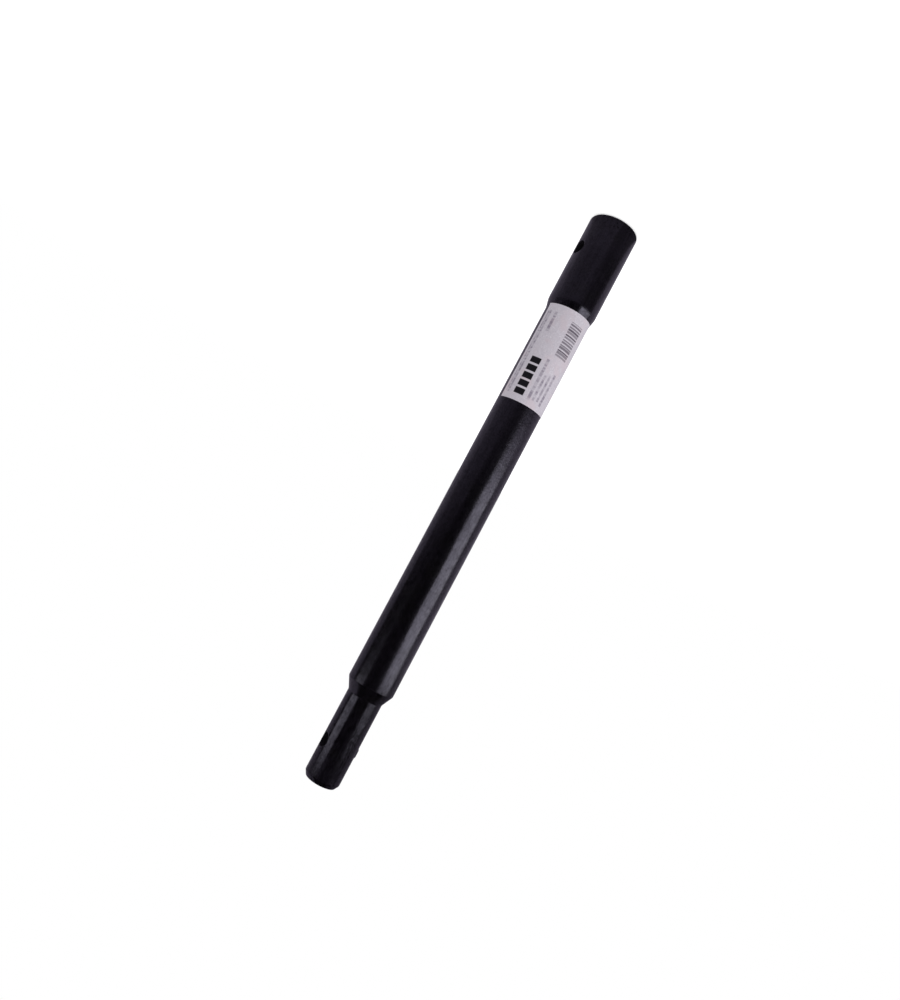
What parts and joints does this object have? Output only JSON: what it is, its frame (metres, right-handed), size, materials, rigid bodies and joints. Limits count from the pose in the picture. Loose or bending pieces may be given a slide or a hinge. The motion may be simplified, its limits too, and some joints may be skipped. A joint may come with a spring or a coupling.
{
  "type": "auger extension rod",
  "caption": "Black painted steel tube rod with a swollen socket at one end and a stepped spigot at the other, both cross-drilled for drive pins, to lengthen an earth auger.",
  "frame": {"origin": "centre of the socket's rim, which is the face that the rod stands on", "axes": "+Z along the rod from the socket to the tip of the spigot, +X along the pin holes, -Y through the middle of the label"},
  "size_m": [0.029, 0.029, 0.344],
  "materials": {
    "black_paint": "satin",
    "label_film": "matte"
  },
  "bodies": {
    "root": {"extension_rod": "black_paint", "label": "label_film"}
  },
  "joints": []
}
